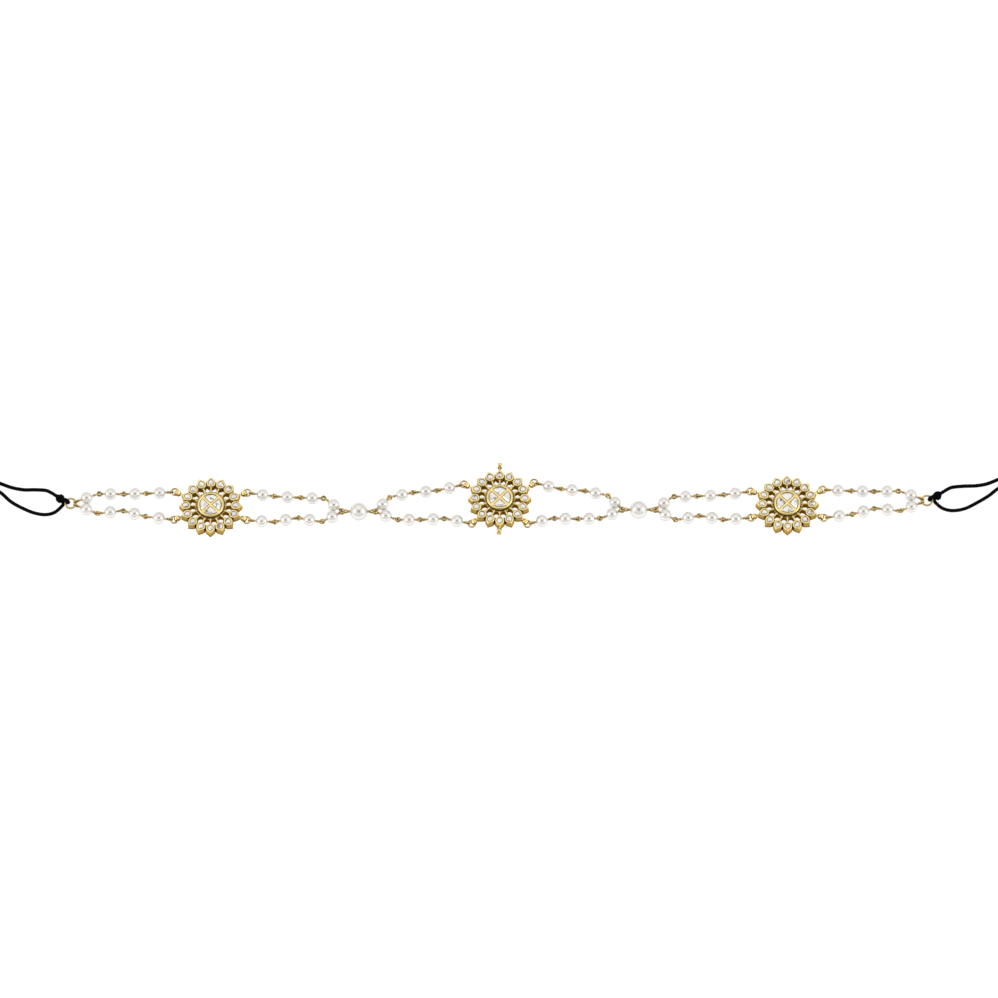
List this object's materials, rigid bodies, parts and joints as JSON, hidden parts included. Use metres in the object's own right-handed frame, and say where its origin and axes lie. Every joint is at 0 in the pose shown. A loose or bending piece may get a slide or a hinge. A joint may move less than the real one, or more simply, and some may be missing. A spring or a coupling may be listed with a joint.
{
  "type": "matha patti hair jewel",
  "caption": "Hair jewel lying flat: pierced flower motifs set with flat-cut stones, linked by strands of pearls on eye pins, with an elastic cord loop at each end.",
  "frame": {"origin": "middle of the centre motif's flat back, which lies on the plane z = 0 with the rest of the jewel", "axes": "+X along the jewel towards the wearer's left end, as in the picture's right, +Y across it towards the picture's top, +Z out of the motifs' faces"},
  "size_m": [0.4228, 0.032, 0.0073],
  "materials": {
    "gold": "bright yellow gold plating, darker in the recesses",
    "antique_wire": "dull antique gold wire",
    "pearl": "nacre, soft lustre",
    "stone": "clear, flat cut, foil backed",
    "cord": "matte black braided elastic"
  },
  "bodies": {
    "root": {"left_motif_setting": "gold", "left_motif_petal_stones": "stone", "left_motif_centre_stones": "stone", "centre_motif_setting": "gold", "centre_motif_petal_stones": "stone", "centre_motif_centre_stones": "stone", "right_motif_setting": "gold", "right_motif_petal_stones": "stone", "right_motif_centre_stones": "stone", "left_outer_top_pearls": "pearl", "left_outer_top_pins": "antique_wire", "left_outer_bottom_pearls": "pearl", "left_outer_bottom_pins": "antique_wire", "left_middle_top_pearls": "pearl", "left_middle_top_pins": "antique_wire", "left_middle_bottom_pearls": "pearl", "left_middle_bottom_pins": "antique_wire", "left_inner_top_pearls": "pearl", "left_inner_top_pins": "antique_wire", "left_inner_bottom_pearls": "pearl", "left_inner_bottom_pins": "antique_wire", "right_outer_top_pearls": "pearl", "right_outer_top_pins": "antique_wire", "right_outer_bottom_pearls": "pearl", "right_outer_bottom_pins": "antique_wire", "right_middle_top_pearls": "pearl", "right_middle_top_pins": "antique_wire", "right_middle_bottom_pearls": "pearl", "right_middle_bottom_pins": "antique_wire", "right_inner_top_pearls": "pearl", "right_inner_top_pins": "antique_wire", "right_inner_bottom_pearls": "pearl", "right_inner_bottom_pins": "antique_wire", "left_motif_jump_ring_1": "antique_wire", "left_motif_jump_ring_2": "antique_wire", "left_motif_jump_ring_3": "antique_wire", "left_motif_jump_ring_4": "antique_wire", "centre_motif_jump_ring_1": "antique_wire", "centre_motif_jump_ring_2": "antique_wire", "centre_motif_jump_ring_3": "antique_wire", "centre_motif_jump_ring_4": "antique_wire", "right_motif_jump_ring_1": "antique_wire", "right_motif_jump_ring_2": "antique_wire", "right_motif_jump_ring_3": "antique_wire", "right_motif_jump_ring_4": "antique_wire", "left_big_pearl": "pearl", "left_big_pin": "antique_wire", "left_end_ring": "antique_wire", "left_knot": "cord", "left_cord": "cord", "right_big_pearl": "pearl", "right_big_pin": "antique_wire", "right_end_ring": "antique_wire", "right_knot": "cord", "right_cord": "cord"}
  },
  "joints": []
}
